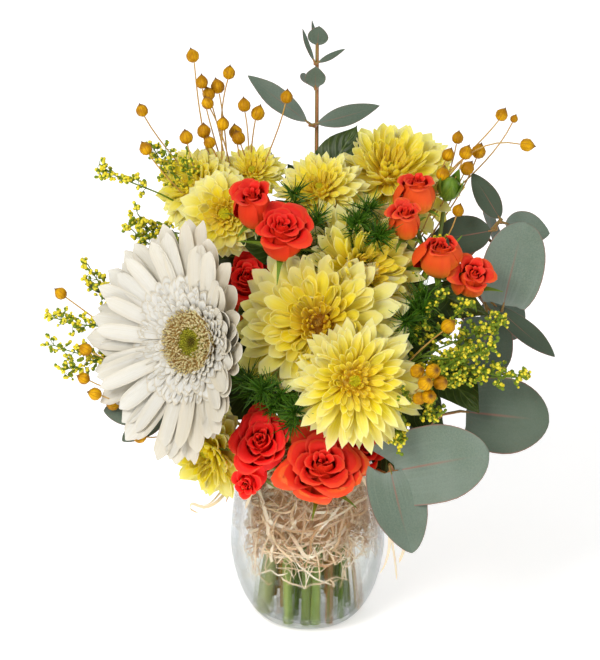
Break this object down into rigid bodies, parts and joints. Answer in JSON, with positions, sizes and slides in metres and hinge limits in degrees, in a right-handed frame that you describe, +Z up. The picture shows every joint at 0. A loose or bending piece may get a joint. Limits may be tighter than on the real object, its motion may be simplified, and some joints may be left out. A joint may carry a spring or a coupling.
{
  "type": "flowers in a glass vase",
  "caption": "Mixed bouquet of gerbera, chrysanthemums, spray roses, eucalyptus and dried flax pods in a round clear glass vase with wood wool and water.",
  "frame": {"origin": "middle of the vase's flat foot, on the surface it stands on", "axes": "+Z up, +X to the right of a viewer in front, +Y away from that viewer"},
  "size_m": [0.2594, 0.1809, 0.3032],
  "materials": {
    "glass": "clear",
    "water": "clear",
    "wood_wool": "matte",
    "gerbera_white": "matte",
    "gerbera_centre": "matte",
    "stem_green": "satin",
    "chrysanthemum_yellow": "matte",
    "rose_coral": "matte",
    "eucalyptus": "matte",
    "broad_leaf": "satin",
    "flax": "matte",
    "goldenrod": "matte",
    "asparagus_fern": "matte"
  },
  "bodies": {
    "root": {"asparagus_low": "asparagus_fern", "asparagus_right": "asparagus_fern", "asparagus_upper": "asparagus_fern", "broad_leaves_back": "broad_leaf", "broad_leaves_right": "broad_leaf", "broad_leaves_top": "broad_leaf", "eucalyptus_left": "eucalyptus", "eucalyptus_low": "eucalyptus", "eucalyptus_low_left": "eucalyptus", "eucalyptus_right": "eucalyptus", "eucalyptus_top": "eucalyptus", "flax_lower_left": "flax", "flax_right": "flax", "flax_upper_left": "flax", "flax_upper_right": "flax", "gerbera_disc": "gerbera_centre", "gerbera_rays": "gerbera_white", "gerbera_stem": "stem_green", "goldenrod_left": "goldenrod", "goldenrod_right": "goldenrod", "goldenrod_upper_left": "goldenrod", "mum_back": "chrysanthemum_yellow", "mum_far_left": "chrysanthemum_yellow", "mum_front": "chrysanthemum_yellow", "mum_low_left": "chrysanthemum_yellow", "mum_middle": "chrysanthemum_yellow", "mum_right": "chrysanthemum_yellow", "mum_small_top": "chrysanthemum_yellow", "mum_stem_back": "stem_green", "mum_stem_front": "stem_green", "mum_stem_left": "stem_green", "mum_stem_low": "stem_green", "mum_stem_top": "stem_green", "mum_top": "chrysanthemum_yellow", "mum_top_right": "chrysanthemum_yellow", "mum_upper_left": "chrysanthemum_yellow", "rose_back_left": "rose_coral", "rose_back_right": "rose_coral", "rose_behind_left": "rose_coral", "rose_behind_right": "rose_coral", "rose_front": "rose_coral", "rose_front_left": "rose_coral", "rose_low_bud": "rose_coral", "rose_right": "rose_coral", "rose_right_high": "rose_coral", "rose_right_outer": "rose_coral", "rose_right_small": "rose_coral", "rose_stem_back": "stem_green", "rose_stem_front": "stem_green", "rose_stem_right": "stem_green", "rose_stem_upper": "stem_green", "rose_upper_left": "rose_coral", "rose_upper_middle": "rose_coral", "vase": "glass", "water": "water", "wood_wool": "wood_wool"}
  },
  "joints": []
}
